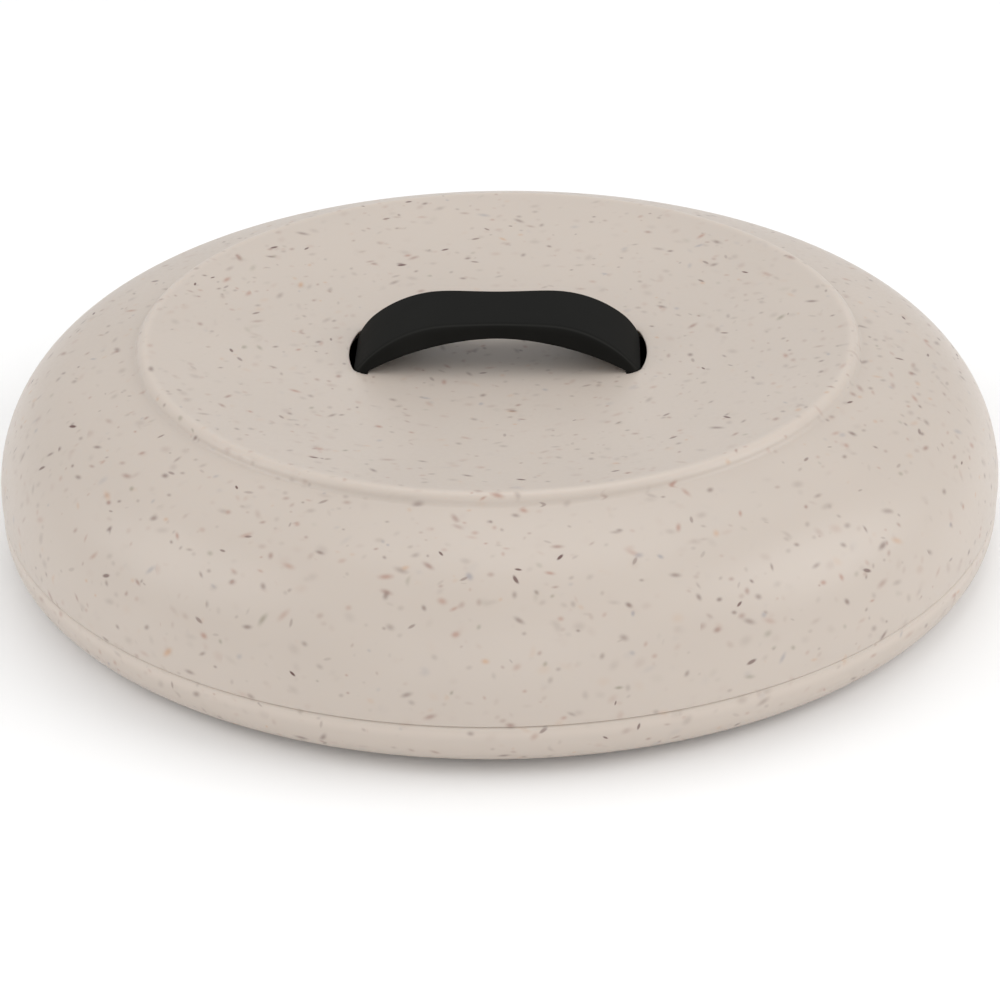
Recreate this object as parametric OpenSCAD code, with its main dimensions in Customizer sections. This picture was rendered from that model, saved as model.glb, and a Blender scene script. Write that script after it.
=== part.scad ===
// Round tortilla warmer: a shallow base tray, a domed lift-off lid and a strap handle
// that snaps into two slots in the lid. Millimetres, +Z up, origin on the table under
// the middle of the foot ring, handle along X.

/* [Overall] */
// Diameter at the widest line of the lid
overall_d = 260; // [230:1:300]
// Height of the seam between base and lid above the table
seam_h = 14.5; // [13.5:0.5:20]
// Wall thickness of the base and the lid
wall = 2.5; // [1.8:0.1:3.2]
// Size of the small groove that marks the seam, on each piece
seam_groove = 0.6; // [0.2:0.1:1]

/* [Base tray] */
// Outer radius of the rounded corner between side and underside
base_corner_r = 9; // [4:0.5:9.5]
// Inner radius between the floor and the side
floor_fillet_r = 6; // [2:0.5:8]
// Height of the foot ring below the underside
foot_h = 1.9; // [1:0.1:2.5]
// Width of the foot ring
foot_w = 4; // [2:0.5:8]
// Distance from the side of the base to the middle of the foot ring
foot_inset = 32; // [16:1:60]
// Height of the locating lip above the seam
lip_h = 4; // [2:0.5:7]
// Thickness of the locating lip
lip_t = 2; // [1.2:0.1:3]
// Radial clearance between the locating lip and the lid
lip_gap = 0.5; // [0.3:0.1:1.5]

/* [Lid] */
// Height of the lid's widest line above the seam
equator_h = 3; // [1:0.5:6]
// Radius of the rounded shoulder of the dome
shoulder_r = 31.6; // [24:0.2:40]
// Slope of the dome where the shoulder runs into the crown, in degrees
shoulder_slope = 19.3; // [12:0.1:26]
// Radius of the flatter crown between the shoulder and the raised panel
crown_r = 115; // [80:1:200]
// Width of the crown band around the raised panel
crown_w = 15.8; // [8:0.2:24]
// Height of the step from the crown up to the raised panel
step_h = 2.1; // [1:0.1:4]
// Rounding of the raised panel's edge
panel_edge_r = 1.6; // [0.5:0.1:2]
// Width of the level rim around the dish of the panel
panel_rim_w = 3; // [2:0.5:8]
// Depth of the dish in the middle of the panel
dish_depth = 7.5; // [3:0.5:10]

/* [Handle] */
// Length of the handle over its two legs
handle_l = 73.6; // [60:0.2:96]
// Height of the handle's top above the middle of the dish
handle_rise = 13.6; // [11:0.1:22]
// Thickness of the strap at the middle
strap_t = 4.2; // [3:0.1:5]
// Length of the level stretch on top of the strap
strap_level_l = 25; // [10:1:40]
// Width of the strap at its waist
waist_w = 20; // [14:0.5:24]
// Width of the strap at its ends
end_w = 27.6; // [25:0.2:36]
// Rounding of the strap's outer corners, seen from above
end_corner_r = 4; // [2:0.2:6]
// Length of the waisted stretch of the strap
waist_l = 66; // [40:1:72]
// Thickness of the legs that pass through the lid
leg_t = 3.5; // [2.5:0.1:5]
// Thickness of the hooks under the lid
hook_h = 2; // [1:0.1:3]
// How far the hooks reach in under the lid
hook_l = 1.5; // [1:0.1:2.5]
// Width of the hooks under the lid
hook_w = 20; // [8:0.5:24]
// Clearance around the legs in their slots
slot_gap = 0.3; // [0.2:0.05:0.6]
// Clearance between the hooks, the strap and the faces they bear on
seat_gap = 0.3; // [0.2:0.05:0.6]

/* [Hidden] */
$fn = 160;

plastic_colour = "#D4CABE";
handle_colour = "#242424";

// Overlap that lets joined shapes fuse and cuts pass right through
fuse = 1;

// Dome: the shoulder arc and the crown arc meet on one tangent
lid_r = overall_d / 2;
equator_z = seam_h + equator_h;
shoulder_x = lid_r - shoulder_r;
crown_x = shoulder_x + (shoulder_r - crown_r) * sin(shoulder_slope);
crown_z = equator_z + (shoulder_r - crown_r) * cos(shoulder_slope);
function join_x(inset) = shoulder_x + (shoulder_r - inset) * sin(shoulder_slope);
function shoulder_at(z, inset) =
    shoulder_x + sqrt(pow(shoulder_r - inset, 2) - pow(z - equator_z, 2));
function crown_at(x) = crown_z + sqrt(pow(crown_r, 2) - pow(x - crown_x, 2));

// Raised panel with its spherical dish
panel_r = join_x(0) - crown_w;
panel_z = crown_at(panel_r) + step_h;
dish_edge_r = panel_r - panel_rim_w;
dish_r = (pow(dish_edge_r, 2) + pow(dish_depth, 2)) / (2 * dish_depth);
dish_z = panel_z - dish_depth + dish_r;
function panel_top(r) = dish_z - sqrt(pow(dish_r, 2) - pow(r, 2));
function panel_under(r) = dish_z - sqrt(pow(dish_r + wall, 2) - pow(r, 2));

// Base: flush with the lid at the seam, lip just inside the lid's wall
base_r = shoulder_at(seam_h, 0);
lip_top_z = seam_h + lip_h;
lip_r = min(shoulder_at(seam_h, wall), shoulder_at(lip_top_z, wall)) - lip_gap;
base_inner_r = lip_r - lip_t;
floor_z = foot_h + wall;
foot_r = base_r - foot_inset;

// Handle: flat legs in slots whose outer side is an arc about the middle of the lid, which
// just clears the rounded corners of the legs and leaves the hooks room to flex outwards
leg_out_x = handle_l / 2;
leg_in_x = leg_out_x - leg_t;
slot_in_x = leg_in_x - slot_gap;
slot_out_r = norm([leg_out_x - end_corner_r, end_w / 2 - end_corner_r]) + end_corner_r + slot_gap;
slot_w = end_w + 2 * slot_gap;
hook_x = leg_in_x - hook_l;
hook_top_z = panel_under(hook_x) - seat_gap;
leg_low_z = hook_top_z - hook_h;
strap_top_z = panel_top(0) + handle_rise;
strap_low_z = strap_top_z - strap_t;

// Radius of an arc that starts level and falls by drop over run
function arc_r(run, drop) = (pow(run, 2) + pow(drop, 2)) / (2 * drop);

// The strap's top bends down to the mouth of the slot, its underside to the inner edge
bend_x = strap_level_l / 2;
bend_r = arc_r(leg_out_x - bend_x, strap_top_z - panel_top(leg_out_x) + seat_gap);
arch_r = arc_r(leg_in_x, strap_low_z - panel_top(leg_in_x) - seat_gap);

// Radius of the hollow sides that narrow the strap to its waist
waist_r = arc_r(waist_l / 2, (end_w - waist_w) / 2);

// Quarter disc that rounds an outer corner, centred at the origin, towards +X and down
module corner_2d(r) {
    intersection() {
        circle(r);
        translate([0, -r])
            square(r);
    }
}

// Cut that leaves a small chamfer on both sides of the seam
module seam_groove_2d() {
    translate([base_r, seam_h])
        rotate(45)
            square(seam_groove * sqrt(2), center = true);
}

// Area under the dome, the step and the dish, drawn inset from the outer skin
module dome_2d(inset, low_z) {
    reach = overall_d;
    difference() {
        union() {
            intersection() {
                translate([shoulder_x, equator_z])
                    circle(shoulder_r - inset);
                translate([shoulder_x, low_z])
                    square(reach);
            }
            intersection() {
                translate([crown_x, crown_z])
                    circle(crown_r - inset);
                translate([0, low_z])
                    square([join_x(inset), reach]);
            }
            translate([0, low_z])
                square([panel_r - inset, panel_z - inset - panel_edge_r - low_z]);
            translate([0, low_z])
                square([panel_r - inset - panel_edge_r, panel_z - inset - low_z]);
            translate([panel_r - inset - panel_edge_r, panel_z - inset - panel_edge_r])
                mirror([0, 1])
                    corner_2d(panel_edge_r);
        }
        translate([0, dish_z])
            circle(dish_r + inset);
    }
}

// Draws its children on the +X side and again on the -X side
module both_ends() {
    for (turn = [0, 180])
        rotate(turn)
            children();
}

// Waisted outline of the strap with rounded corners, seen from above
module strap_plan_2d() {
    difference() {
        union() {
            square([handle_l, end_w - 2 * end_corner_r], center = true);
            square([handle_l - 2 * end_corner_r, end_w], center = true);
            for (x = [-1, 1], y = [-1, 1])
                translate([x * (leg_out_x - end_corner_r), y * (end_w / 2 - end_corner_r)])
                    circle(end_corner_r);
        }
        for (side = [-1, 1])
            translate([0, side * (waist_w / 2 + waist_r)])
                circle(waist_r);
    }
}

// Arched side view of the strap and its legs
module strap_side_2d() {
    height = strap_top_z - leg_low_z;
    difference() {
        union() {
            translate([-bend_x, leg_low_z])
                square([2 * bend_x, height]);
            for (side = [-1, 1])
                intersection() {
                    translate([side * bend_x, strap_top_z - bend_r])
                        circle(bend_r);
                    translate([side * (bend_x + leg_out_x + fuse) / 2, leg_low_z + height / 2])
                        square([leg_out_x + fuse - bend_x, height], center = true);
                }
        }
        intersection() {
            translate([0, strap_low_z - arch_r])
                circle(arch_r);
            translate([-leg_in_x, leg_low_z - fuse])
                square([2 * leg_in_x, height]);
        }
    }
}

// Slot for one leg, on the +X side, cut right through the panel
module leg_slot() {
    translate([0, 0, leg_low_z])
        intersection() {
            cylinder(h = strap_top_z - leg_low_z, r = slot_out_r);
            translate([slot_in_x, -slot_w / 2, 0])
                cube([slot_out_r, slot_w, strap_top_z - leg_low_z]);
        }
}

// Shallow round tray with a foot ring and a lip that centres the lid
module base_tray() {
    color(plastic_colour)
        rotate_extrude()
            difference() {
                union() {
                    translate([0, foot_h])
                        square([base_r - base_corner_r, seam_h - foot_h]);
                    translate([0, foot_h + base_corner_r])
                        square([base_r, seam_h - foot_h - base_corner_r]);
                    translate([base_r - base_corner_r, foot_h + base_corner_r])
                        corner_2d(base_corner_r);
                    translate([base_inner_r, floor_z])
                        square([lip_t, lip_top_z - floor_z]);
                    translate([foot_r - foot_w / 2, 0])
                        square([foot_w, foot_h + wall / 2]);
                }
                translate([0, floor_z])
                    square([base_inner_r - floor_fillet_r, lip_top_z]);
                translate([0, floor_z + floor_fillet_r])
                    square([base_inner_r, lip_top_z]);
                translate([base_inner_r - floor_fillet_r, floor_z + floor_fillet_r])
                    corner_2d(floor_fillet_r);
                seam_groove_2d();
            }
}

// Domed lid with a raised, dished panel and two slots for the handle's legs
module lid_shell() {
    color(plastic_colour)
        difference() {
            rotate_extrude()
                difference() {
                    dome_2d(0, seam_h);
                    dome_2d(wall, seam_h - fuse);
                    seam_groove_2d();
                }
            both_ends()
                leg_slot();
        }
}

// Arched strap with two legs that pass through the lid and hook under its panel
module handle() {
    color(handle_colour) {
        intersection() {
            rotate([90, 0, 0])
                linear_extrude(end_w + 2 * fuse, center = true)
                    strap_side_2d();
            translate([0, 0, leg_low_z - fuse])
                linear_extrude(strap_top_z - leg_low_z + 2 * fuse)
                    strap_plan_2d();
        }
        both_ends()
            translate([hook_x, -hook_w / 2, leg_low_z])
                cube([hook_l + leg_t / 2, hook_w, hook_h]);
    }
}

base_tray();
lid_shell();
handle();
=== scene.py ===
import math

import bmesh
import bpy
from mathutils import Matrix, Vector


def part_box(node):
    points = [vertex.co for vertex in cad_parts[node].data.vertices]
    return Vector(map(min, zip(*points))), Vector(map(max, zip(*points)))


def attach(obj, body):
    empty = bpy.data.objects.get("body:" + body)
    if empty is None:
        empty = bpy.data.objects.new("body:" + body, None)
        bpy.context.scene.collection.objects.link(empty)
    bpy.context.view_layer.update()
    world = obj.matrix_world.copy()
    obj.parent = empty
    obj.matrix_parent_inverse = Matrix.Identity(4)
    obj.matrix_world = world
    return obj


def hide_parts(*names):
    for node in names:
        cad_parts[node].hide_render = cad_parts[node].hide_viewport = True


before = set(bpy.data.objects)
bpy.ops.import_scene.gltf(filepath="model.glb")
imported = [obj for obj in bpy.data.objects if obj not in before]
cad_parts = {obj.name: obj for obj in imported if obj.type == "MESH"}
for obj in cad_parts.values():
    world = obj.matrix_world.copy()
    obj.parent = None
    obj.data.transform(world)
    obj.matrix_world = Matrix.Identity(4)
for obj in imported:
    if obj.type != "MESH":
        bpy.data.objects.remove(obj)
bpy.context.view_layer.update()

bl_info = {
    "name": "Tortilla Warmer",
    "version": (1, 0, 0),
    "blender": (4, 5, 0),
    "location": "3D View > Sidebar > Warmer",
    "description": "Models a round speckled tortilla warmer with a lift-off lid and a strap handle",
    "category": "Object",
}

MM = 0.001

# Heights that the frame gives, in metres
SEAM_Z = round(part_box("lid_shell")[0].z, 4)
LIP_TOP_Z = round(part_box("base_tray")[1].z, 4)
LEG_LOW_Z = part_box("handle")[0].z
STRAP_TOP_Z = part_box("handle")[1].z

# Steps round the turned pieces, the radius at which their outlines start and end, and the angle
# between faces above which an edge is shaded sharp
TURN_STEPS = 192
POLE_R = 1.5 * MM
SMOOTH_ANGLE = math.radians(35)
# Far from the piece: vertices that have been placed are kept this far from those that haven't, in metres
AWAY = 1.0
# Two places nearer to each other than this count as one
SAME_PLACE = MM / 20


def length(name, default_mm, description):
    """A size in the sidebar, given here in millimetres."""
    return bpy.props.FloatProperty(
        name=name, description=description, default=default_mm * MM, min=0.0, unit="LENGTH", precision=5
    )


def turn(name, default_deg, description):
    """An angle in the sidebar, given here in degrees."""
    return bpy.props.FloatProperty(
        name=name, description=description, default=math.radians(default_deg), subtype="ANGLE"
    )


def colour(name, default, description):
    """A linear colour in the sidebar."""
    return bpy.props.FloatVectorProperty(
        name=name, description=description, default=default, size=3, min=0.0, max=1.0, subtype="COLOR"
    )


def amount(name, default, description):
    """A plain number in the sidebar."""
    return bpy.props.FloatProperty(name=name, description=description, default=default)


class WarmerSizes(bpy.types.PropertyGroup):
    """Sizes of the moulded pieces"""

    overall_d: length("Diameter", 260, "Diameter at the widest line of the lid")
    wall: length("Wall", 2.5, "Wall thickness of the base and the lid")
    seam_edge: length("Seam edge", 0.4, "Rounding of the lid's lower edge above the seam")
    rim_edge: length("Rim edge", 0.9, "Rounding of the base's rim under the seam")
    fine_edge: length("Fine edge", 0.5, "Rounding of the foot ring and of the inner edges")
    base_corner: length("Base corner", 9, "Outer radius between the side and the underside of the base")
    floor_fillet: length("Floor fillet", 6, "Inner radius between the floor and the side of the base")
    foot_h: length("Foot height", 1.9, "Height of the foot ring below the underside")
    foot_w: length("Foot width", 4, "Width of the foot ring")
    foot_inset: length("Foot inset", 32, "Distance from the side of the base to the foot ring")
    lip_t: length("Lip", 2, "Thickness of the lip that centres the lid")
    lip_gap: length("Lip gap", 0.5, "Clearance between the lip and the lid")
    equator_h: length("Widest line", 3, "Height of the lid's widest line above the seam")
    shoulder_r: length("Shoulder", 31.6, "Radius of the dome's rounded shoulder")
    shoulder_slope: turn("Shoulder slope", 19.3, "Slope where the shoulder runs into the crown")
    crown_r: length("Crown", 115, "Radius of the flatter crown around the panel")
    crown_w: length("Crown width", 15.8, "Width of the crown band around the panel")
    step_h: length("Step", 2.5, "Height of the panel above the crown")
    step_crest: length("Step crest", 2.5, "Rounding of the panel's edge")
    step_fillet: length("Step fillet", 1.5, "Rounding at the foot of the step")
    dish_depth: length("Dish", 7.9, "Depth of the dish in the middle of the panel")
    handle_l: length("Handle length", 73.6, "Length of the handle over its legs")
    strap_t: length("Strap", 4.2, "Thickness of the strap at the middle")
    strap_level: length("Strap level", 25, "Length of the level stretch on top of the strap")
    waist_w: length("Waist", 21.3, "Width of the strap at its waist")
    waist_ease: length("Waist ease", 0.35, "How softly the sides turn at the waist")
    waist_flare: turn("Waist flare", 5.5, "Angle at which the sides spread from the waist to the ends")
    end_w: length("Strap ends", 27.6, "Width of the strap at its ends")
    end_corner: length("Strap corner", 4, "Rounding of the strap's corners, seen from above")
    leg_t: length("Leg", 3.5, "Thickness of the legs")
    hook_h: length("Hook", 2, "Thickness of the hooks under the lid")
    hook_l: length("Hook length", 1.5, "How far the hooks reach in under the lid")
    hook_w: length("Hook width", 20, "Width of the hooks under the lid")
    slot_gap: length("Slot gap", 0.3, "Clearance around the legs in their slots")
    slot_corner: length("Slot corner", 2.8, "Rounding of the slot's outer corners, seen from above")
    slot_draft: length("Slot draft", 1.2, "How much wider the slot is under the panel than on top")
    slot_edge: length("Slot edge", 0.25, "Rounding of the slot's upper edge")


class WarmerFinish(bpy.types.PropertyGroup):
    """Colours of the mouldings"""

    beige: colour("Beige", (0.541, 0.473, 0.415), "Body colour of the speckled plastic")
    charcoal: colour("Charcoal", (0.0115, 0.0115, 0.0107), "Colour of the handle")
    gloss: amount("Roughness", 0.38, "Roughness of the speckled plastic")
    matte: amount("Handle roughness", 0.55, "Roughness of the handle")


class WarmerStage(bpy.types.PropertyGroup):
    """Camera and light"""

    distance: length("Distance", 800, "Distance from the camera to the middle of the seam")
    elevation: turn("Elevation", 27.41, "Height of the camera above the seam, as an angle")
    azimuth: turn("Azimuth", 1.6, "Turn of the camera about the object's axis")
    pitch: turn("Pitch", 0.69, "How far the camera looks below the middle of the seam")
    roll: turn("Roll", -0.79, "Roll of the camera")
    lens: amount("Lens", 109.04, "Focal length in millimetres on a sensor 36 mm wide")
    sky: amount("Sky", 0.65, "Strength of the even light from all around")
    overhead: amount("Overhead", 2.6, "Power of the softbox above, in watts")
    right: amount("Right", 7.8, "Power of the softbox on the right, in watts")
    left: amount("Left", 5.4, "Power of the softbox on the left, in watts")
    front: amount("Front", 4.5, "Power of the softbox in front, in watts")
    back: amount("Back", 0.6, "Power of the softbox behind, in watts")


class Form:
    """Radii and heights of the mouldings, worked out from the sizes."""

    def __init__(self, s):
        self.s = s
        self.equator_z = SEAM_Z + s.equator_h
        self.shoulder_x = s.overall_d / 2 - s.shoulder_r
        sin_slope, cos_slope = math.sin(s.shoulder_slope), math.cos(s.shoulder_slope)
        self.crown_x = self.shoulder_x + (s.shoulder_r - s.crown_r) * sin_slope
        self.crown_z = self.equator_z + (s.shoulder_r - s.crown_r) * cos_slope
        self.panel_r = self.shoulder_x + s.shoulder_r * sin_slope - s.crown_w
        self.panel_z = self.crown_at(self.panel_r) + s.step_h
        # The dish touches the rounded crest of the panel's edge
        self.crest_x = self.panel_r - s.step_crest
        self.crest_z = self.panel_z - s.step_crest
        low = s.step_crest - s.dish_depth
        self.dish_r = (self.crest_x**2 + low**2 - s.step_crest**2) / (2 * s.dish_depth)
        self.dish_z = self.panel_z - s.dish_depth + self.dish_r
        # The base is flush with the lid at the seam
        self.base_r = self.shoulder_at(SEAM_Z, 0)
        inside = min(self.shoulder_at(SEAM_Z, s.wall), self.shoulder_at(LIP_TOP_Z, s.wall))
        self.lip_r = inside - s.lip_gap
        self.foot_r = self.base_r - s.foot_inset
        # The handle's flat legs stand in slots whose outer side is an arc about the middle
        self.leg_out_x = s.handle_l / 2
        self.leg_in_x = self.leg_out_x - s.leg_t
        self.slot_in_x = self.leg_in_x - s.slot_gap
        corner_x, corner_y = self.leg_out_x - s.end_corner, s.end_w / 2 - s.end_corner
        self.slot_out_r = math.hypot(corner_x, corner_y) + s.end_corner + s.slot_gap
        self.slot_half_w = self.strap_half_w(self.leg_in_x) + s.slot_gap
        self.strap_low_z = STRAP_TOP_Z - s.strap_t
        self.knee_z = self.dish_at(self.leg_in_x) + s.slot_gap
        self.bend_x = s.strap_level / 2
        top_drop = STRAP_TOP_Z - self.dish_at(self.leg_out_x) + s.slot_gap
        self.bend_r = fall_radius(self.leg_out_x - self.bend_x, top_drop)
        self.arch_r = fall_radius(self.leg_in_x, self.strap_low_z - self.knee_z)

    def shoulder_at(self, z, inset):
        """Radius of the dome's shoulder at a height."""
        return self.shoulder_x + math.sqrt((self.s.shoulder_r - inset) ** 2 - (z - self.equator_z) ** 2)

    def crown_at(self, r):
        """Height of the crown at a radius."""
        return self.crown_z + math.sqrt(self.s.crown_r**2 - (r - self.crown_x) ** 2)

    def dish_at(self, r):
        """Height of the dish at a radius."""
        return self.dish_z - math.sqrt(self.dish_r**2 - r**2)

    def strap_top(self, x):
        """Height of the strap's top, x from the middle."""
        past = max(abs(x) - self.bend_x, 0.0)
        return STRAP_TOP_Z - self.bend_r + math.sqrt(self.bend_r**2 - past**2)

    def strap_low(self, x):
        """Height of the strap's underside, x from the middle, or of the sole that a leg is drawn from."""
        run = min(abs(x), self.leg_in_x)
        over_leg = abs(x) > self.leg_in_x + SAME_PLACE
        sunk = self.s.leg_t / 2 if over_leg else 0.0
        return self.strap_low_z - self.arch_r + math.sqrt(self.arch_r**2 - run**2) - sunk

    def strap_half_w(self, x):
        """Half of the strap's width, x from the middle, with the waist and the rounded corners."""
        ease = self.s.waist_ease
        waisted = self.s.waist_w / 2 + math.hypot(ease, x * math.tan(self.s.waist_flare)) - ease
        round_off = max(abs(x) - self.leg_out_x + self.s.end_corner, 0.0)
        cornered = self.s.end_w / 2 - self.s.end_corner + math.sqrt(self.s.end_corner**2 - round_off**2)
        return min(waisted, cornered)

    def slot_outer(self, y):
        """How far out the slot reaches, y from its middle."""
        corner = self.s.slot_corner
        past = max(abs(y) - self.slot_half_w + corner, 0.0)
        round_off = corner - math.sqrt(max(corner**2 - past**2, 0.0))
        return max(math.sqrt(self.slot_out_r**2 - y**2) - round_off, self.slot_in_x + self.s.slot_gap)


def fall_radius(run, drop):
    """Radius of an arc that starts level and falls by drop over run."""
    return (run**2 + drop**2) / (2 * drop)


def arc(x, z, radius, start, end, steps):
    """Points of radius and height along an arc, with angles measured from straight up."""
    turns = [start + (end - start) * i / steps for i in range(steps + 1)]
    return [(x + radius * math.sin(a), z + radius * math.cos(a)) for a in turns]


def start_piece():
    """Leaves nothing selected, so that operators act on the new piece alone."""
    if bpy.context.object and bpy.context.object.mode != "OBJECT":
        bpy.ops.object.mode_set(mode="OBJECT")
    bpy.ops.object.select_all(action="DESELECT")


def select_verts(piece, test):
    """Selects the vertices of the piece in edit mode whose place passes the test."""
    mesh = bmesh.from_edit_mesh(piece.data)
    for vert in mesh.verts:
        vert.select_set(test(vert.co))
    mesh.select_flush(True)
    bmesh.update_edit_mesh(piece.data)


def select_faces(piece, test):
    """Selects the faces of the piece in edit mode that pass the test."""
    mesh = bmesh.from_edit_mesh(piece.data)
    for face in mesh.faces:
        face.select_set(False)
    for face in mesh.faces:
        if test(face):
            face.select_set(True)
    bmesh.update_edit_mesh(piece.data)


def apply_modifier(piece, kind, **settings):
    """Adds a modifier with its settings and applies it."""
    start_piece()
    bpy.context.view_layer.objects.active = piece
    piece.select_set(True)
    modifier = piece.modifiers.new(kind.title(), kind)
    for name, value in settings.items():
        setattr(modifier, name, value)
    bpy.ops.object.modifier_apply(modifier=modifier.name)


def turned(name, profile):
    """Turns a profile that starts and ends near the axis into a closed shell, ring by ring."""
    start_piece()
    radius, height = profile[0]
    bpy.ops.mesh.primitive_circle_add(vertices=TURN_STEPS, radius=radius, fill_type="NOTHING")
    piece = bpy.context.object
    piece.name = piece.data.name = name
    bpy.ops.object.mode_set(mode="EDIT")
    bpy.ops.mesh.select_all(action="SELECT")
    bpy.ops.transform.translate(value=(0, 0, height))
    for next_radius, next_height in profile[1:]:
        bpy.ops.mesh.extrude_edges_move(TRANSFORM_OT_translate={"value": (0, 0, next_height - height)})
        grow = next_radius / radius
        bpy.ops.transform.resize(value=(grow, grow, 1), center_override=(0, 0, next_height))
        radius, height = next_radius, next_height
    # Each of the two open rings at the axis is drawn together to a point
    for _ in range(2):
        bpy.ops.mesh.extrude_edges_move()
        bpy.ops.mesh.merge(type="CENTER")
        bpy.ops.mesh.select_all(action="DESELECT")
        bpy.ops.mesh.select_non_manifold()
        if not any(v.select for v in bmesh.from_edit_mesh(piece.data).verts):
            break
    bpy.ops.mesh.select_all(action="SELECT")
    bpy.ops.mesh.normals_make_consistent(inside=False)
    bpy.ops.object.mode_set(mode="OBJECT")
    return piece


def finish_piece(piece, material, node, body):
    """Gives a piece its material and its place in the frame."""
    start_piece()
    bpy.context.view_layer.objects.active = piece
    piece.select_set(True)
    bpy.ops.object.shade_smooth_by_angle(angle=SMOOTH_ANGLE)
    piece.data.materials.clear()
    piece.data.materials.append(material)
    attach(piece, body)
    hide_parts(node)
    piece.select_set(False)


# Sockets of a Mix node that take the two colours, and the one that gives the result
MIX_FIRST, MIX_SECOND, MIX_RESULT = 6, 7, 2


class Wire:
    """A shader socket that adds Math nodes when it is used in an expression."""

    def __init__(self, tree, socket=None):
        self.tree = tree
        self.socket = socket

    def node(self, kind, settings=None, inputs=None, output=0):
        """Adds a node, sets it up, feeds its sockets and gives one of its outputs."""
        made = self.tree.nodes.new(kind)
        for name, value in (settings or {}).items():
            if name == "stops":
                ramp = made.color_ramp.elements
                while len(ramp) < len(value):
                    ramp.new(0.5)
                for stop, (place, shade) in zip(ramp, value):
                    stop.position = place
                    stop.color = (*shade, 1.0)
            elif name == "ramp_interpolation":
                made.color_ramp.interpolation = value
            else:
                setattr(made, name, value)
        for name, value in (inputs or {}).items():
            if isinstance(value, Wire):
                self.tree.links.new(value.socket, made.inputs[name])
            else:
                made.inputs[name].default_value = value
        return Wire(self.tree, made.outputs[output])

    def output(self, name):
        """Another output of the node that made this socket."""
        return Wire(self.tree, self.socket.node.outputs[name])

    def math(self, operation, *values):
        """Adds a Math node on plain values."""
        return self.node("ShaderNodeMath", {"operation": operation}, dict(enumerate(values)))

    def vector(self, operation, *values, output=0):
        """Adds a Vector Math node."""
        return self.node("ShaderNodeVectorMath", {"operation": operation}, dict(enumerate(values)), output)

    def scaled(self, factor):
        """This vector times a number."""
        return self.node("ShaderNodeVectorMath", {"operation": "SCALE"}, {0: self, "Scale": factor})

    def dot(self, other):
        """Dot product with another vector."""
        return self.vector("DOT_PRODUCT", self, other, output="Value")

    def step(self, low, high, to_low=0.0, to_high=1.0):
        """Smooth step of this value from one limit to the other."""
        limits = {"Value": self, "From Min": low, "From Max": high, "To Min": to_low, "To Max": to_high}
        return self.node("ShaderNodeMapRange", {"interpolation_type": "SMOOTHSTEP"}, limits)

    def noise(self, place, scale, detail):
        """Noise at a scale per unit of the place."""
        return self.node("ShaderNodeTexNoise", {}, {"Vector": place, "Scale": scale, "Detail": detail})

    def mix(self, first, second):
        """Colour mixed from the first to the second by this value."""
        inputs = {"Factor": self, MIX_FIRST: first, MIX_SECOND: second}
        return self.node("ShaderNodeMix", {"data_type": "RGBA"}, inputs, MIX_RESULT)

    def __add__(self, other):
        return self.math("ADD", self, other)

    def __sub__(self, other):
        return self.math("SUBTRACT", self, other)

    def __mul__(self, other):
        return self.math("MULTIPLY", self, other)

    def __truediv__(self, other):
        return self.math("DIVIDE", self, other)

    def __radd__(self, other):
        return self.math("ADD", other, self)

    def __rsub__(self, other):
        return self.math("SUBTRACT", other, self)


def rgba(shade, factor=1.0):
    """A colour socket's four numbers, made darker or paler by a factor."""
    return (*(min(1.0, channel * factor) for channel in shade), 1.0)


def new_material(name):
    """A material with a Principled shader, and a Wire to build the rest with."""
    material = bpy.data.materials.new(name)
    material.use_nodes = True
    tree = material.node_tree
    return material, tree.nodes["Principled BSDF"].inputs, Wire(tree)


# Limits between which most of a noise lies
NOISE_LIMITS = (0.3, 0.7)

# Tints of the chips, as limits of a random number and linear colours
FLECK_TINTS = (
    (0.0, (0.125, 0.062, 0.054)),
    (0.40, (0.240, 0.110, 0.083)),
    (0.62, (0.350, 0.165, 0.115)),
    (0.82, (0.520, 0.300, 0.165)),
    (0.90, (0.220, 0.220, 0.265)),
    (0.95, (0.210, 0.185, 0.125)),
)
# How often the chips crowd together and thin out, per metre, the limits of the noise that makes them do
# so, and how their share changes between those limits
FLECK_CROWDS = 55.0
CROWD_LIMITS = (0.35, 0.65)
CROWD_SHARES = (0.4, 1.6)
# How much more the chips lie round the axis than up and down, as the plastic flowed
FLECK_FLOW = 1.2
# Size of the least chip in a layer and how much larger the largest is, as parts of the layer's size
FLECK_LEAST = 0.6
FLECK_SPREAD = 0.8
# How much a chip's core stands out from its fringe
FLECK_CORE = 1.6
# How much softer the deepest chips are, and how much faster than evenly they fade with their depth
DEEP_SOFTER = 0.1
DEEP_FADE = 0.65
# How far a chip's edge fades, as a part of its size
SOFT_EDGE = 0.88
# Edge of the crisp chips, and the part of the tints that they take, which is the darkest alone
CRISP = dict(soft=0.45, tones=0.4)
# Rods, dots, fine specks, pale chips deep in the wall and a few crisp rods, with sizes in millimetres
FLECK_LAYERS = (
    dict(cell=6.6, long=1.26, wide=0.54, share=0.61, depth=2.8, strength=0.62, seed=3.1),
    dict(cell=5.2, long=0.80, wide=0.55, share=0.54, depth=2.1, strength=0.62, seed=7.7),
    dict(cell=4.0, long=0.62, wide=0.48, share=0.50, depth=1.5, strength=0.46, seed=13.3),
    dict(cell=5.6, long=1.15, wide=0.80, share=0.65, depth=2.8, strength=0.22, seed=19.9),
    dict(cell=7.2, long=0.95, wide=0.36, share=0.45, depth=1.6, strength=1.00, seed=29.3, **CRISP),
)


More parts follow.
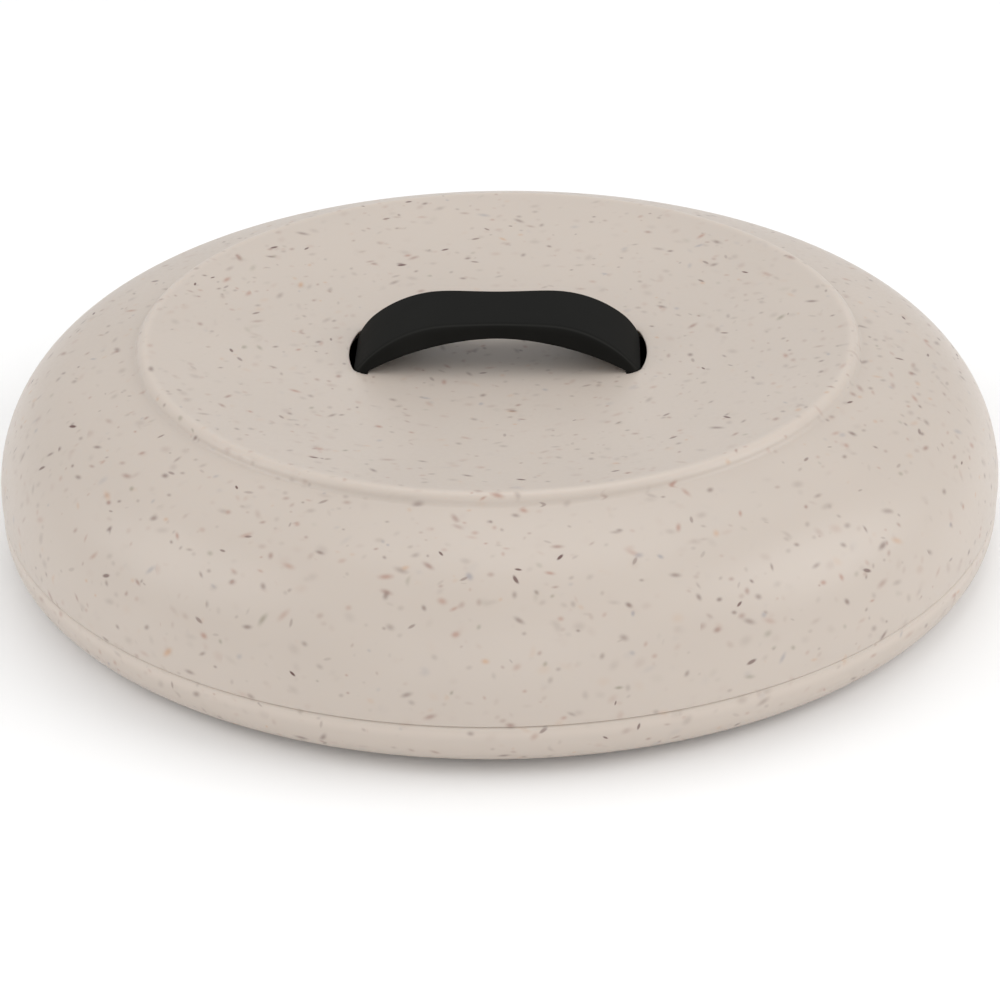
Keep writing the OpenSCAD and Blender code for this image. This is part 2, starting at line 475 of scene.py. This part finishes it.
def flecks(wire, place, normal, cell, long, wide, share, depth, strength, seed, soft=SOFT_EDGE, tones=1.0):
    """Chips scattered in the plastic: how much of each chip shows, and its tint.

    Each cell holds one chip at a random depth. A chip near the surface is dark, and one that lies
    deeper is blurred and pale. Share is the part of cells with a chip, strength is how much of a chip
    right at the surface shows, soft is how far its edge fades, and tones is the part of the tints used.
    """
    spot = wire.vector("ADD", place.scaled(1 / (cell * MM)), (seed, 2.0 * seed, 3.0 * seed))
    cells = wire.node("ShaderNodeTexVoronoi", {"feature": "F1"}, {"Vector": spot, "Scale": 1.0})
    centre = cells.output("Position")
    chance = wire.node("ShaderNodeTexWhiteNoise", {}, {"Vector": centre}, output="Color")
    odds = chance.node("ShaderNodeSeparateColor", {}, {0: chance})
    size_odds, tint_odds = odds.output("Green"), odds.output("Blue") * tones
    away = wire.vector("SUBTRACT", spot, centre)
    below = away.dot(normal)
    flat = wire.vector("SUBTRACT", away, normal.scaled(below))
    # Each chip lies at random in the surface, but more often along the flow
    any_way = wire.vector("SUBTRACT", cells.output("Color"), (0.5, 0.5, 0.5))
    lie = wire.vector("CROSS_PRODUCT", any_way, normal)
    round_axis = wire.vector("NORMALIZE", wire.vector("CROSS_PRODUCT", (0, 0, 1), place))
    lie = wire.vector("ADD", lie, round_axis.scaled(lie.dot(round_axis) * FLECK_FLOW))
    along = flat.dot(wire.vector("NORMALIZE", lie))
    across = wire.math("MAXIMUM", flat.dot(flat) - along * along, 0.0)
    grow = size_odds * FLECK_SPREAD + FLECK_LEAST
    reach = along * along / (long / cell) ** 2 + across / (wide / cell) ** 2
    span = wire.math("SQRT", reach) / grow
    sunk = wire.math("MINIMUM", wire.math("ABSOLUTE", below) / (depth / cell), 1.0)
    blur = sunk * DEEP_SOFTER + soft
    shape = wire.math("POWER", span.step(1.0 + blur, 1.0 - blur), FLECK_CORE)
    crowd = wire.noise(centre, FLECK_CROWDS * cell * MM, detail=1.0)
    crowd_share = crowd.step(*CROWD_LIMITS, *(part * share for part in CROWD_SHARES))
    there = wire.math("LESS_THAN", odds.output("Red"), crowd_share)
    fade = 1.0 - sunk
    show = shape * there * fade * (fade * DEEP_FADE + (1.0 - DEEP_FADE)) * strength
    tint = wire.node(
        "ShaderNodeValToRGB", {"stops": FLECK_TINTS, "ramp_interpolation": "CONSTANT"}, {"Fac": tint_odds}
    )
    return show, tint


# Width of the painted highlight line to each side, on the panel's edge and under the base's rim
HIGHLIGHT_LINE_W = 2.4 * MM
# How far the line lies out from the top of the panel's edge, and how far below the seam
HIGHLIGHT_CREST_OUT = HIGHLIGHT_LINE_W / 4
HIGHLIGHT_RIM_DROP = HIGHLIGHT_LINE_W * 3 / 4
# How much paler the painted highlight is
HIGHLIGHT_PALER = 1.075


def painted_edge_highlights(wire, place, form):
    """Where a highlight is painted on the panel's edge and under the base's rim, from 0 to 1."""
    from_axis = wire.vector("LENGTH", wire.vector("MULTIPLY", place, (1, 1, 0)), output="Value")
    height = wire.node("ShaderNodeSeparateXYZ", {}, {0: place}).output("Z")
    off_crest = wire.math("ABSOLUTE", from_axis - (form.crest_x + HIGHLIGHT_CREST_OUT))
    crest = off_crest.step(HIGHLIGHT_LINE_W, 0.0) * height.step(form.crest_z, form.panel_z)
    off_rim = wire.math("ABSOLUTE", height - (SEAM_Z - HIGHLIGHT_RIM_DROP))
    rim_side = from_axis.step(form.base_r - 2 * HIGHLIGHT_LINE_W, form.base_r - HIGHLIGHT_LINE_W)
    rim = off_rim.step(HIGHLIGHT_LINE_W, 0.0) * rim_side * wire.math("LESS_THAN", height, SEAM_Z)
    return wire.math("MAXIMUM", crest, rim)


# Noise in the beige plastic, per metre: faint clouds, the mould's slow swell and its fine grain
CLOUD_SCALE = 22.0
SWELL_SCALE = 160.0
GRAIN_SCALE = 900.0
# How dark and how pale the clouds are
CLOUD_SHADES = (0.985, 1.012)
# How much smoother and rougher than its roughness the beige plastic gets
GLOSS_SPREAD = (-0.03, 0.04)
# Strength and depth of the mould's texture on the beige plastic, and the grain's part in it
SWELL_STRENGTH = 0.25
SWELL_DEPTH = 0.02 * MM
GRAIN_PART = 0.4
# Refraction of the beige plastic, how much light enters it, and how far, for red, green and blue
BEIGE_IOR = 1.49
GLOW = 0.12
GLOW_DEPTHS = (3.0 * MM, 2.2 * MM, 1.6 * MM)


def speckled_beige(finish, form):
    """Satin beige plastic with dark, brown and grey chips moulded into it, and a highlight painted paler
    along the panel's edge and under the base's rim.
    """
    material, shader, wire = new_material("speckled_beige")
    coordinates = wire.node("ShaderNodeTexCoord", output="Object")
    normal = coordinates.output("Normal")
    cloud = wire.noise(coordinates, CLOUD_SCALE, detail=2.0).step(*NOISE_LIMITS)
    body = cloud.mix(*(rgba(finish.beige, shade) for shade in CLOUD_SHADES))
    # A highlight is painted into the colour as a paler line on the panel's edge and under the base's rim
    body = painted_edge_highlights(wire, coordinates, form).mix(body, rgba(finish.beige, HIGHLIGHT_PALER))
    for layer in FLECK_LAYERS:
        show, tint = flecks(wire, coordinates, normal, **layer)
        body = show.mix(body, tint)
    wire.tree.links.new(body.socket, shader["Base Color"])
    grain = wire.noise(coordinates, GRAIN_SCALE, detail=3.0)
    polish = grain.step(*NOISE_LIMITS, *(finish.gloss + change for change in GLOSS_SPREAD))
    wire.tree.links.new(polish.socket, shader["Roughness"])
    relief = wire.noise(coordinates, SWELL_SCALE, detail=1.0) + grain * GRAIN_PART
    bump = wire.node(
        "ShaderNodeBump", {}, {"Strength": SWELL_STRENGTH, "Distance": SWELL_DEPTH, "Height": relief}
    )
    wire.tree.links.new(bump.socket, shader["Normal"])
    shader["IOR"].default_value = BEIGE_IOR
    shader["Subsurface Weight"].default_value = GLOW
    shader["Subsurface Radius"].default_value = GLOW_DEPTHS
    shader["Subsurface Scale"].default_value = 1.0
    return material


# Noise in the handle's plastic, per metre: rubbed patches and the mould's fine grain
PATCH_SCALE = 70.0
HANDLE_GRAIN_SCALE = 1400.0
# Limits of the noise between which a patch sets in, and how much paler a patch is
PATCH_LIMITS = (0.35, 0.75)
PATCH_PALER = 1.25
# Sideways part of the normal between which the painted highlight on the edges sets in and then ends, and
# how much paler it is
SHEEN_STARTS = (0.2, 0.5)
SHEEN_ENDS = (0.92, 0.65)
SHEEN_PALER = 1.8
# How much smoother and rougher than its roughness the handle gets
MATTE_SPREAD = (-0.04, 0.06)
# Strength and depth of the grain on the handle
HANDLE_GRAIN_STRENGTH = 0.35
HANDLE_GRAIN_DEPTH = 0.03 * MM
# Strength of the highlights on the handle
HANDLE_SHINE = 0.013


def matte_charcoal(finish):
    """Matte black plastic with a fine moulded grain, and a highlight painted paler along the strap's
    rounded edges.
    """
    material, shader, wire = new_material("matte_charcoal")
    coordinates = wire.node("ShaderNodeTexCoord", output="Object")
    facing = wire.node("ShaderNodeSeparateXYZ", {}, {0: coordinates.output("Normal")})
    sideways = wire.math("ABSOLUTE", facing.output("Y"))
    # A highlight is painted into the colour where the normal leans partly sideways, along the strap's
    # rounded edges
    painted_edge_sheen = sideways.step(*SHEEN_STARTS) * sideways.step(*SHEEN_ENDS)
    patches = wire.noise(coordinates, PATCH_SCALE, detail=3.0)
    shade = patches.step(*PATCH_LIMITS).mix(rgba(finish.charcoal), rgba(finish.charcoal, PATCH_PALER))
    shade = painted_edge_sheen.mix(shade, rgba(finish.charcoal, SHEEN_PALER))
    wire.tree.links.new(shade.socket, shader["Base Color"])
    polish = patches.step(*NOISE_LIMITS, *(finish.matte + change for change in MATTE_SPREAD))
    wire.tree.links.new(polish.socket, shader["Roughness"])
    grain = wire.noise(coordinates, HANDLE_GRAIN_SCALE, detail=2.0)
    bump = wire.node(
        "ShaderNodeBump",
        {},
        {"Strength": HANDLE_GRAIN_STRENGTH, "Distance": HANDLE_GRAIN_DEPTH, "Height": grain},
    )
    wire.tree.links.new(bump.socket, shader["Normal"])
    shader["Specular IOR Level"].default_value = HANDLE_SHINE
    return material


def shared_material(name, make, *given):
    """The material of that name, made when it is first asked for."""
    return bpy.data.materials.get(name) or make(*given)


# Steps along the arcs of the lid's outline
LID_STEPS = {
    "dish": 30,
    "crest": 14,
    "fillet": 6,
    "crown": 10,
    "shoulder": 34,
    "edge": 4,
    "inner_shoulder": 24,
    "inner_crown": 6,
    "inner_dish": 24,
}
# How far inside the panel's edge its underside begins, in walls
UNDER_INSET = 1.6


def lid_profile(form):
    """Outline of the lid from the middle of the dish over the dome and back inside."""
    s, steps = form.s, LID_STEPS
    quarter, half = math.pi / 2, math.pi
    # The crest of the panel's edge, the fillet at its foot and the crown touch one another
    crest_to_fillet = s.step_crest + s.step_fillet
    crown_to_fillet = s.crown_r + s.step_fillet
    gap_x, gap_z = form.crest_x - form.crown_x, form.crest_z - form.crown_z
    gap = math.hypot(gap_x, gap_z)
    lean = math.acos((crown_to_fillet**2 + gap**2 - crest_to_fillet**2) / (2 * crown_to_fillet * gap))
    crown_start = math.atan2(gap_x, gap_z) + lean
    fillet_x = form.crown_x + crown_to_fillet * math.sin(crown_start)
    fillet_z = form.crown_z + crown_to_fillet * math.cos(crown_start)
    crest_end = math.atan2(fillet_x - form.crest_x, fillet_z - form.crest_z)
    dish_end = math.asin(form.crest_x / (form.dish_r + s.step_crest))
    dish_start = math.asin(POLE_R / form.dish_r)
    slope = s.shoulder_slope
    outside = arc(0, form.dish_z, form.dish_r, half - dish_start, half - dish_end, steps["dish"])
    outside += arc(form.crest_x, form.crest_z, s.step_crest, -dish_end, crest_end, steps["crest"])[1:]
    foot_start, foot_end = half + crest_end, half + crown_start
    outside += arc(fillet_x, fillet_z, s.step_fillet, foot_start, foot_end, steps["fillet"])[1:]
    outside += arc(form.crown_x, form.crown_z, s.crown_r, crown_start, slope, steps["crown"])[1:]
    edge = s.seam_edge
    shoulder_x, equator_z = form.shoulder_x, form.equator_z
    shoulder_end = quarter + math.asin((equator_z - SEAM_Z - edge) / s.shoulder_r)
    outside += arc(shoulder_x, equator_z, s.shoulder_r, slope, shoulder_end, steps["shoulder"])[1:]
    edge_r = outside[-1][0] - edge
    outside += arc(edge_r, SEAM_Z + edge, edge, quarter, half, steps["edge"])[1:]
    # The inside follows the outside at the wall's thickness
    inner_r = form.shoulder_at(SEAM_Z, s.wall)
    fine = s.fine_edge
    inside = [(inner_r + 2 * fine, SEAM_Z), (inner_r + fine, SEAM_Z), (inner_r, SEAM_Z + fine)]
    inner_shoulder = s.shoulder_r - s.wall
    inner_crown = s.crown_r - s.wall
    inner_dish = form.dish_r + s.wall
    inner_end = quarter + math.asin((equator_z - SEAM_Z - 2 * fine) / inner_shoulder)
    inside += arc(shoulder_x, equator_z, inner_shoulder, inner_end, slope, steps["inner_shoulder"])
    inside += arc(form.crown_x, form.crown_z, inner_crown, slope, crown_start, steps["inner_crown"])[1:]
    under_end = math.asin((form.panel_r - UNDER_INSET * s.wall) / inner_dish)
    inside += arc(0, form.dish_z, inner_dish, half - under_end, half - dish_start, steps["inner_dish"])
    return outside + inside


# Rows across the cutter of a slot: an odd number, so that none falls on a line of the lid
SLOT_ROWS = 25
# How far the cutter reaches below the slot's mouth, in walls
SLOT_REACH = 1.2
# Steps across the rounded upper edge of a slot, and the angle between faces that marks this edge
SLOT_EDGE_STEPS = 3
SLOT_EDGE_ANGLE = math.radians(45)


def slot_cutter(form):
    """Block that cuts one slot through the panel, on the +X side, wider below than at the mouth."""
    rows = SLOT_ROWS
    draft = form.s.slot_draft
    spread = 1 + draft / form.slot_half_w
    mouth_z = form.dish_at(form.leg_out_x)
    low_z = mouth_z - SLOT_REACH * form.s.wall
    start_piece()
    bpy.ops.mesh.primitive_grid_add(x_subdivisions=1, y_subdivisions=rows, size=1.0)
    cutter = bpy.context.object
    bpy.ops.object.mode_set(mode="EDIT")
    # The flat grid takes the slot's widest outline, row by row, with the rows close together at its ends
    for row in range(rows + 1):
        start_y = row / rows - 0.5
        y = form.slot_half_w * math.sin(math.pi * start_y)
        for side, x in ((-1, form.slot_in_x), (1, form.slot_outer(y) + draft)):
            start_x = side / 2
            select_verts(
                cutter,
                lambda co: abs(co.x - start_x) < MM and abs(co.y - start_y) < MM and co.z > -MM,
            )
            bpy.ops.transform.translate(value=(x - start_x, y * spread - start_y, low_z - AWAY))
    bpy.ops.mesh.select_all(action="SELECT")
    bpy.ops.transform.translate(value=(0, 0, AWAY))
    # The outline narrows by the draft on its way up to the mouth, and then runs straight on
    bpy.ops.mesh.extrude_region_move(TRANSFORM_OT_translate={"value": (0, 0, mouth_z - low_z)})
    bpy.ops.transform.resize(value=(1, 1 / spread, 1), center_override=(0, 0, 0))
    select_verts(cutter, lambda co: co.z > mouth_z - MM / 2 and co.x > form.slot_in_x + MM / 2)
    bpy.ops.transform.translate(value=(-draft, 0, 0))
    select_verts(cutter, lambda co: co.z > mouth_z - MM / 2)
    bpy.ops.mesh.extrude_region_move(TRANSFORM_OT_translate={"value": (0, 0, form.s.wall)})
    bpy.ops.mesh.select_all(action="SELECT")
    bpy.ops.mesh.normals_make_consistent(inside=False)
    bpy.ops.object.mode_set(mode="OBJECT")
    return cutter


class WARMER_OT_lid_shell(bpy.types.Operator):
    """Model the domed lid with its raised, dished panel and the slots for the handle"""

    bl_idname = "warmer.lid_shell"
    bl_label = "Lid Shell"

    def execute(self, context):
        form = Form(context.scene.warmer_sizes)
        lid = turned("lid_shell_skin", lid_profile(form))
        for half_turn in (0, math.pi):
            cutter = slot_cutter(form)
            cutter.data.transform(Matrix.Rotation(half_turn, 4, "Z"))
            apply_modifier(lid, "BOOLEAN", object=cutter, operation="DIFFERENCE", solver="EXACT")
            bpy.data.objects.remove(cutter)
        self.soften_slots(lid, form)
        finish = context.scene.warmer_finish
        material = shared_material("speckled_beige", speckled_beige, finish, form)
        finish_piece(lid, material, "lid_shell", "lid")
        return {"FINISHED"}

    def soften_slots(self, lid, form):
        """Rounds the upper edges of the two slots."""
        start_piece()
        bpy.context.view_layer.objects.active = lid
        lid.select_set(True)
        bpy.ops.object.mode_set(mode="EDIT")
        bpy.ops.mesh.select_mode(type="EDGE")
        mesh = bmesh.from_edit_mesh(lid.data)
        near, far = form.slot_in_x - MM, form.slot_out_r + MM
        for edge in mesh.edges:
            middle = (edge.verts[0].co + edge.verts[1].co) / 2
            radius = math.hypot(middle.x, middle.y)
            on_rim = near < radius < far and abs(middle.z - form.dish_at(radius)) < MM / 2
            edge.select_set(on_rim and edge.is_manifold and edge.calc_face_angle() > SLOT_EDGE_ANGLE)
        bmesh.update_edit_mesh(lid.data)
        bpy.ops.mesh.bevel(offset=form.s.slot_edge, segments=SLOT_EDGE_STEPS, affect="EDGES")
        bpy.ops.mesh.select_mode(type="VERT")
        bpy.ops.object.mode_set(mode="OBJECT")


# Steps along the arcs and the level stretches of the base's outline
BASE_STEPS = {
    "underside": 6,
    "foot_root": 3,
    "foot_edge": 4,
    "outer_underside": 4,
    "corner": 16,
    "rim": 6,
    "lip_root": 2,
    "lip_tip": 4,
    "fillet": 10,
    "floor": 10,
}
# Rounding of the lip's two upper edges, as a part of its thickness
LIP_TIP = 1 / 3


def level_run(start, end, z, steps):
    """Points between two radii at one height, without the two ends."""
    return [(start + (end - start) * i / steps, z) for i in range(1, steps)]


def base_profile(form):
    """Outline of the base from the middle of the underside round the rim and back to the middle."""
    s, steps = form.s, BASE_STEPS
    edge, rim, fillet = s.fine_edge, s.rim_edge, s.floor_fillet
    quarter, half = math.pi / 2, math.pi
    foot_in, foot_out = form.foot_r - s.foot_w / 2, form.foot_r + s.foot_w / 2
    root_z = s.foot_h - edge
    profile = [(POLE_R, s.foot_h)]
    profile += level_run(0, foot_in, s.foot_h, steps["underside"])
    profile += arc(foot_in - edge, root_z, edge, 0, quarter, steps["foot_root"])
    profile += arc(foot_in + edge, edge, edge, half + quarter, half, steps["foot_edge"])
    profile += arc(foot_out - edge, edge, edge, half, quarter, steps["foot_edge"])
    profile += arc(foot_out + edge, root_z, edge, -quarter, 0, steps["foot_root"])
    corner_x, corner_z = form.base_r - s.base_corner, s.foot_h + s.base_corner
    profile += level_run(foot_out, corner_x, s.foot_h, steps["outer_underside"])
    profile += arc(corner_x, corner_z, s.base_corner, half, quarter, steps["corner"])
    profile += [(form.base_r, (corner_z + SEAM_Z) / 2)]
    profile += arc(form.base_r - rim, SEAM_Z - rim, rim, quarter, 0, steps["rim"])
    profile += [(form.lip_r + edge, SEAM_Z)]
    root = edge / 2
    profile += arc(form.lip_r + root, SEAM_Z + root, root, half, half + quarter, steps["lip_root"])
    tip = s.lip_t * LIP_TIP
    profile += arc(form.lip_r - tip, LIP_TOP_Z - tip, tip, quarter, 0, steps["lip_tip"])
    inner_r = form.lip_r - s.lip_t
    profile += arc(inner_r + tip, LIP_TOP_Z - tip, tip, 0, -quarter, steps["lip_tip"])
    floor_r, floor_z = inner_r - fillet, s.foot_h + s.wall
    profile += arc(floor_r, floor_z + fillet, fillet, quarter, half, steps["fillet"])
    profile += level_run(floor_r, 0, floor_z, steps["floor"])
    return profile + [(POLE_R, floor_z)]


class WARMER_OT_base_tray(bpy.types.Operator):
    """Model the shallow base tray with its foot ring and the lip that centres the lid"""

    bl_idname = "warmer.base_tray"
    bl_label = "Base Tray"

    def execute(self, context):
        form = Form(context.scene.warmer_sizes)
        base = turned("base_tray_skin", base_profile(form))
        finish = context.scene.warmer_finish
        material = shared_material("speckled_beige", speckled_beige, finish, form)
        finish_piece(base, material, "base_tray", "base")
        return {"FINISHED"}


# Rows across the strap from its middle to its end, as shares of the way to the leg's inner face
STRAP_ROWS = (0.0, 0.12, 0.24, 0.373, 0.5, 0.62, 0.74, 0.85, 0.93, 0.975)
# Rows across the leg, as shares of its thickness
LEG_ROWS = (0.0, 0.3, 0.6, 0.86, 1.0)
# Lines along the strap, as shares of its half width, close together at the edges
STRAP_COLUMNS = (-1.0, -0.82, -0.58, -0.3, 0.0, 0.3, 0.58, 0.82, 1.0)
# Levels above the underside, as shares of the strap's thickness
STRAP_LEVELS = (0.16, 0.5, 1.0)
# How often the strap is subdivided
STRAP_SUBDIVISIONS = 3
# Upright part of the normal of a face that a leg is drawn from, and level part of one that a hook is
SOLE_FACES = 0.3
HOOK_FACES = 0.9


class WARMER_OT_handle(bpy.types.Operator):
    """Model the waisted strap handle with its two legs and their hooks"""

    bl_idname = "warmer.handle"
    bl_label = "Handle"

    def execute(self, context):
        form = Form(context.scene.warmer_sizes)
        strap = self.strap(form)
        self.legs(strap, form)
        apply_modifier(strap, "SUBSURF", levels=STRAP_SUBDIVISIONS, render_levels=STRAP_SUBDIVISIONS)
        material = shared_material("matte_charcoal", matte_charcoal, context.scene.warmer_finish)
        finish_piece(strap, material, "handle", "lid")
        return {"FINISHED"}

    def strap(self, form):
        """The arched strap, from a flat sheet shaped row by row and then thickened."""
        rows = [share * form.leg_in_x for share in STRAP_ROWS]
        rows += [form.leg_in_x + share * form.s.leg_t for share in LEG_ROWS]
        rows = [-x for x in reversed(rows[1:])] + rows
        lines, columns = len(rows) - 1, len(STRAP_COLUMNS) - 1
        start_piece()
        bpy.ops.mesh.primitive_grid_add(x_subdivisions=lines, y_subdivisions=columns, size=1.0)
        piece = bpy.context.object
        piece.name = piece.data.name = "handle_skin"
        bpy.ops.object.mode_set(mode="EDIT")
        close, midway = SAME_PLACE, AWAY / 2
        for column, share in enumerate(STRAP_COLUMNS):
            start_y = column / columns - 0.5
            select_verts(piece, lambda co: abs(co.y - start_y) < close and co.z < midway)
            bpy.ops.transform.translate(value=(0, share - start_y, AWAY))
        for row, x in enumerate(rows):
            start_x = row / lines - 0.5
            select_verts(piece, lambda co: abs(co.x - start_x) < close and co.z > midway)
            bpy.ops.transform.resize(value=(1, form.strap_half_w(x), 1), center_override=(0, 0, 0))
            bpy.ops.transform.translate(value=(x - start_x, 0, form.strap_low(x) - 2 * AWAY))
        bpy.ops.mesh.select_all(action="SELECT")
        bpy.ops.transform.translate(value=(0, 0, AWAY))
        # Each level is drawn up far from the last, and its rows then come down to their height
        for _ in STRAP_LEVELS:
            bpy.ops.mesh.extrude_region_move(TRANSFORM_OT_translate={"value": (0, 0, AWAY)})
        for number, share in enumerate(STRAP_LEVELS, 1):
            drawn_z = number * AWAY
            for x in rows:
                rise = share * (form.strap_top(x) - form.strap_low(x))
                select_verts(piece, lambda co: abs(co.x - x) < close and abs(co.z - drawn_z) < midway)
                bpy.ops.transform.translate(value=(0, 0, rise - drawn_z))
        return piece

    def legs(self, piece, form):
        """Draws the legs down through the slots and the hooks inwards under the panel."""
        s = form.s

        def is_sole(face):
            place = face.calc_center_median()
            low_half = place.z < (form.strap_top(place.x) + form.strap_low(place.x)) / 2
            return abs(place.x) > form.leg_in_x and low_half and abs(face.normal.z) > SOLE_FACES

        def is_hook_root(face):
            place = face.calc_center_median()
            faces_in = face.normal.x * place.x < 0 and abs(face.normal.x) > HOOK_FACES
            return faces_in and place.z < hook_top and abs(place.y) < s.hook_w / 2

        hook_top = LEG_LOW_Z + s.hook_h
        select_faces(piece, is_sole)
        # Each stretch of the leg is drawn down and then made level at its height
        for height in (form.knee_z - s.leg_t, hook_top, LEG_LOW_Z):
            bpy.ops.mesh.extrude_region_move(TRANSFORM_OT_translate={"value": (0, 0, -s.hook_h)})
            bpy.ops.transform.resize(value=(1, 1, 0), center_override=(0, 0, height))
        bpy.ops.mesh.select_all(action="SELECT")
        bpy.ops.mesh.normals_make_consistent(inside=False)
        for side in (-1, 1):
            select_faces(piece, lambda face: is_hook_root(face) and face.calc_center_median().x * side > 0)
            bpy.ops.mesh.extrude_region_move(TRANSFORM_OT_translate={"value": (-side * s.hook_l, 0, 0)})
        bpy.ops.mesh.select_all(action="SELECT")
        bpy.ops.mesh.normals_make_consistent(inside=False)
        bpy.ops.object.mode_set(mode="OBJECT")


# Width of the floor, in metres, its colour and its roughness
FLOOR_W = 8.0
FLOOR_PALE = (0.97, 0.97, 0.97)
FLOOR_MATTE = 0.9
# Place and width of each softbox, in metres
SOFTBOXES = {
    "overhead": ((0.1, 0.35, 1.2), 0.8),
    "right": ((1.3, -0.2, 0.9), 1.0),
    "left": ((-1.3, -0.2, 0.9), 1.0),
    "front": ((0.0, -1.5, 0.55), 1.2),
    "back": ((0.0, 1.4, 0.6), 1.2),
}
# Width of the camera's sensor, in millimetres, and the distance at which its view starts, in metres
SENSOR_W = 36.0
VIEW_START = 0.01


class WARMER_OT_stage(bpy.types.Operator):
    """Set up the floor, the soft light and the camera"""

    bl_idname = "warmer.stage"
    bl_label = "Stage"

    def execute(self, context):
        stage = context.scene.warmer_stage
        self.floor()
        self.light(context, stage)
        self.camera(context, stage)
        return {"FINISHED"}

    def floor(self):
        """A plain pale floor."""
        start_piece()
        bpy.ops.mesh.primitive_plane_add(size=FLOOR_W)
        floor = bpy.context.object
        floor.name = "floor"
        material, shader, _ = new_material("pale_floor")
        shader["Base Color"].default_value = rgba(FLOOR_PALE)
        shader["Roughness"].default_value = FLOOR_MATTE
        shader["Specular IOR Level"].default_value = 0.0
        floor.data.materials.append(material)

    def light(self, context, stage):
        """Even light all round, with softboxes above and on all four sides."""
        world = bpy.data.worlds.new("studio")
        world.use_nodes = True
        sky = world.node_tree.nodes["Background"].inputs
        sky["Color"].default_value = rgba((1.0, 1.0, 1.0))
        sky["Strength"].default_value = stage.sky
        context.scene.world = world
        for name, (place, width) in SOFTBOXES.items():
            self.softbox(f"{name}_softbox", place, width, getattr(stage, name))
        context.scene.view_settings.view_transform = "Standard"

    def softbox(self, name, place, width, power):
        """A square area light that faces the object."""
        start_piece()
        bpy.ops.object.light_add(type="AREA", location=place)
        lamp = bpy.context.object
        lamp.name = name
        lamp.data.energy = power
        lamp.data.size = width
        lamp.rotation_euler = Vector(place).to_track_quat("Z", "Y").to_euler()

    def camera(self, context, stage):
        """The camera at the photograph's viewing angle."""
        bpy.ops.object.camera_add()
        camera = context.object
        camera.data.sensor_width = SENSOR_W
        camera.data.lens = stage.lens
        camera.data.clip_start = VIEW_START
        target = Vector((0, 0, SEAM_Z))
        rise, dive = stage.elevation, stage.elevation + stage.pitch
        round_axis = Matrix.Rotation(stage.azimuth, 3, "Z")
        place = target + round_axis @ Vector((0, -math.cos(rise), math.sin(rise))) * stage.distance
        ahead = round_axis @ Vector((0, math.cos(dive), -math.sin(dive)))
        right = round_axis @ Vector((1, 0, 0))
        up = right.cross(ahead)
        level, lean = math.cos(stage.roll), math.sin(stage.roll)
        axes = Matrix((right * level + up * lean, up * level - right * lean, -ahead)).transposed()
        camera.matrix_world = Matrix.Translation(place) @ axes.to_4x4()
        context.scene.camera = camera


class WARMER_PT_sidebar(bpy.types.Panel):
    """Lists the pieces and the stage"""

    bl_idname = "WARMER_PT_sidebar"
    bl_label = "Tortilla Warmer"
    bl_space_type = "VIEW_3D"
    bl_region_type = "UI"
    bl_category = "Warmer"

    def draw(self, context):
        for maker in MAKERS:
            self.layout.operator(maker.bl_idname)
        for name in GROUPS:
            group = getattr(context.scene, name)
            box = self.layout.box()
            for setting in group.__annotations__:
                box.prop(group, setting)


MAKERS = (WARMER_OT_base_tray, WARMER_OT_lid_shell, WARMER_OT_handle, WARMER_OT_stage)
GROUPS = {"warmer_sizes": WarmerSizes, "warmer_finish": WarmerFinish, "warmer_stage": WarmerStage}


def register():
    """Makes the pieces, the stage and their settings known to Blender."""
    for cls in (*GROUPS.values(), *MAKERS, WARMER_PT_sidebar):
        bpy.utils.register_class(cls)
    for name, group in GROUPS.items():
        setattr(bpy.types.Scene, name, bpy.props.PointerProperty(type=group))


def unregister():
    """Takes the settings, the stage and the pieces away again."""
    for name in GROUPS:
        delattr(bpy.types.Scene, name)
    for cls in (WARMER_PT_sidebar, *reversed(MAKERS), *GROUPS.values()):
        bpy.utils.unregister_class(cls)


def main():
    """Models the pieces and the stage."""
    register()
    bpy.ops.warmer.base_tray()
    bpy.ops.warmer.lid_shell()
    bpy.ops.warmer.handle()
    bpy.ops.warmer.stage()


if __name__ == "__main__":
    main()
